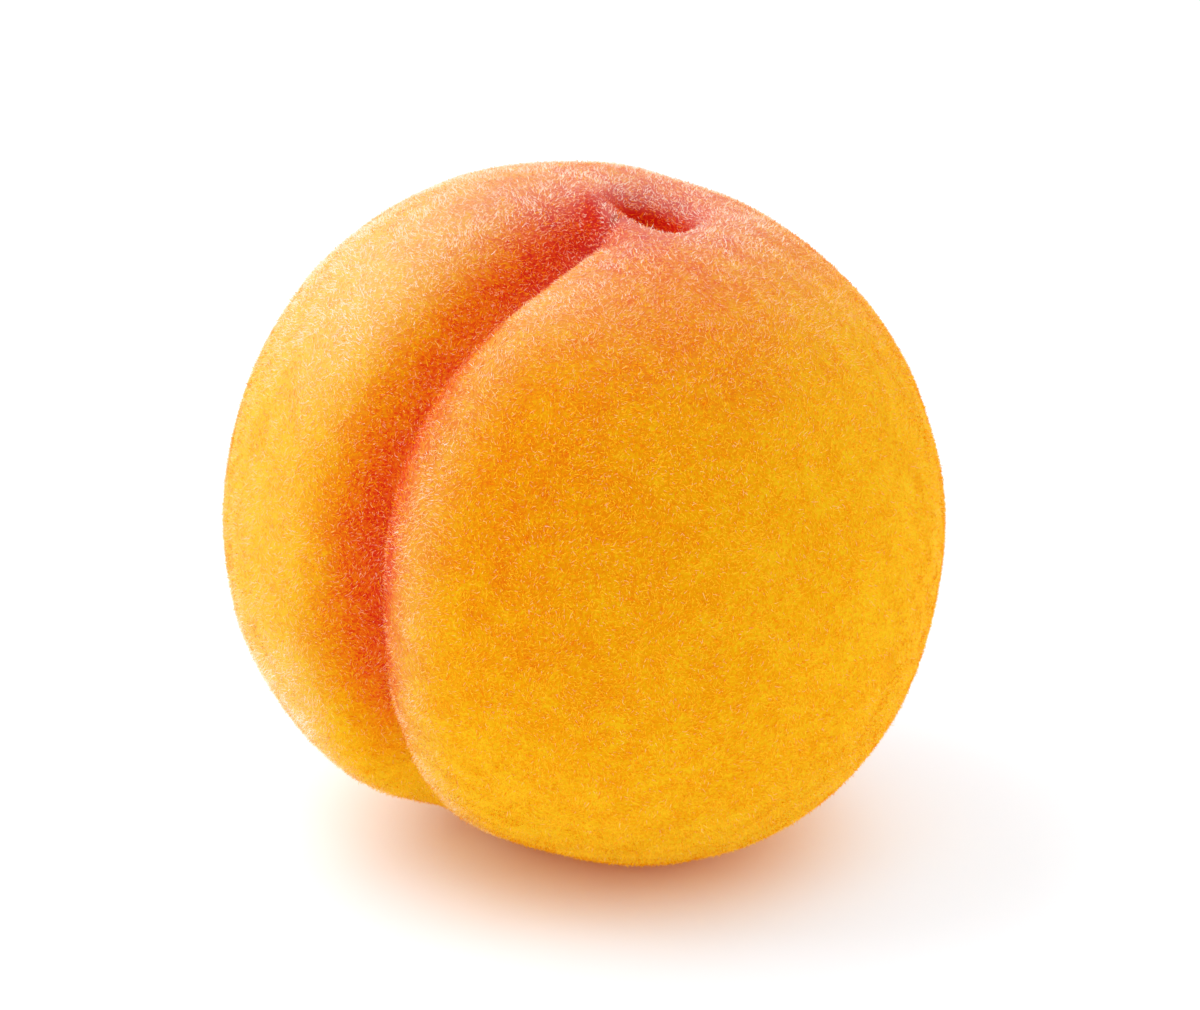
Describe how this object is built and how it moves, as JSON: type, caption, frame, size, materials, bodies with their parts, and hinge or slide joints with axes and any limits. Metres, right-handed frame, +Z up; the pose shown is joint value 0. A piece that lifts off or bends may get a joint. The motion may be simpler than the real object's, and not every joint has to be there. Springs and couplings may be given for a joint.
{
  "type": "peach",
  "caption": "Whole ripe yellow peach with a deep suture, a red blush beside it and an empty stem cavity, resting on a small flat spot.",
  "frame": {"origin": "on the surface it stands on, under the middle of its bounding box", "axes": "+Z up; the stem axis leans about 12.6 degrees to +X and 2.4 degrees to -Y; the suture faces between -X and -Y"},
  "size_m": [0.0736, 0.0728, 0.0696],
  "materials": {
    "peach_skin": "matt, with a short pale down"
  },
  "bodies": {
    "root": {"peach": "peach_skin"}
  },
  "joints": []
}
